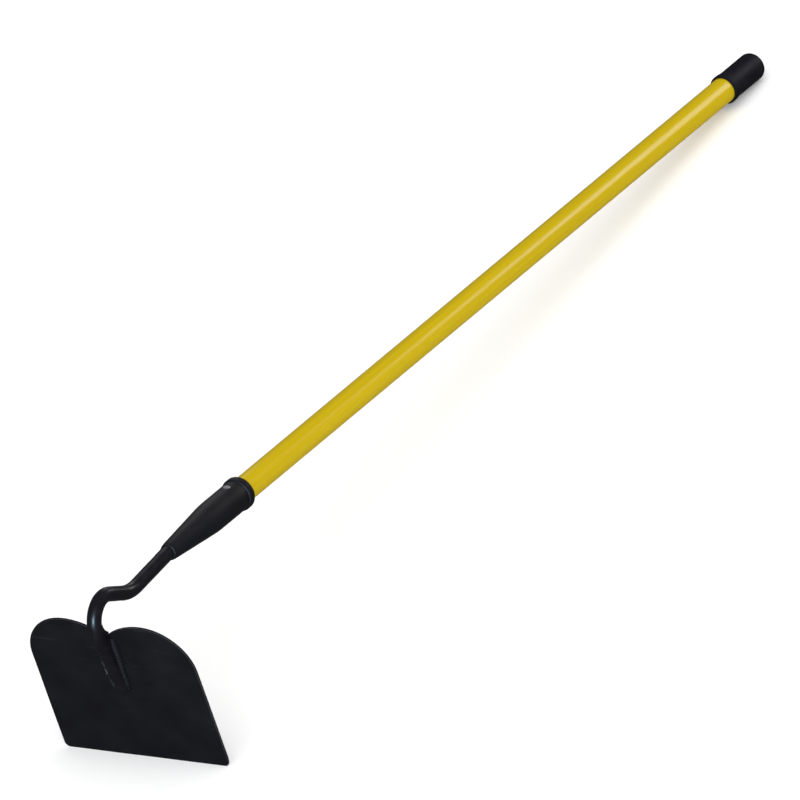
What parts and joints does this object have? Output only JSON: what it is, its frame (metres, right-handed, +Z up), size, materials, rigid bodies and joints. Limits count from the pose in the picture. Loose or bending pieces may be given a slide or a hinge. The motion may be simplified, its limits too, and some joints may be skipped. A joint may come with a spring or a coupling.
{
  "type": "grub hoe",
  "caption": "Long-handled grub hoe: flat steel blade with two round lobes, welded to a forged gooseneck, and a tapered ferrule on a straight yellow tube handle with a soft end cap.",
  "frame": {"origin": "on the floor, under the middle of the bounding box of the tool lying on its cutting edge and the rim of its end cap", "axes": "+X along the tool from head to grip, +Y across the blade, +Z up"},
  "size_m": [1.4692, 0.217, 0.2279],
  "materials": {
    "blade_paint": "satin black paint over pressed steel plate",
    "neck_paint": "semi-gloss black paint over forged bar",
    "weld": "black paint over rippled weld",
    "ferrule_nylon": "matte moulded charcoal",
    "rivet_metal": "dull, partly blackened",
    "yellow_tube": "gloss yellow gel coat on pultruded fibreglass",
    "plug_wood": "plain turned hardwood",
    "cap_rubber": "matte soft vinyl"
  },
  "bodies": {
    "root": {"blade": "blade_paint", "gooseneck": "neck_paint", "weld_bead_left": "weld", "weld_bead_right": "weld", "notch_weld": "weld", "ferrule": "ferrule_nylon", "ferrule_rivet": "rivet_metal", "handle_tube": "yellow_tube", "tang_plug": "plug_wood", "grip_plug": "plug_wood", "end_cap": "cap_rubber"}
  },
  "joints": []
}
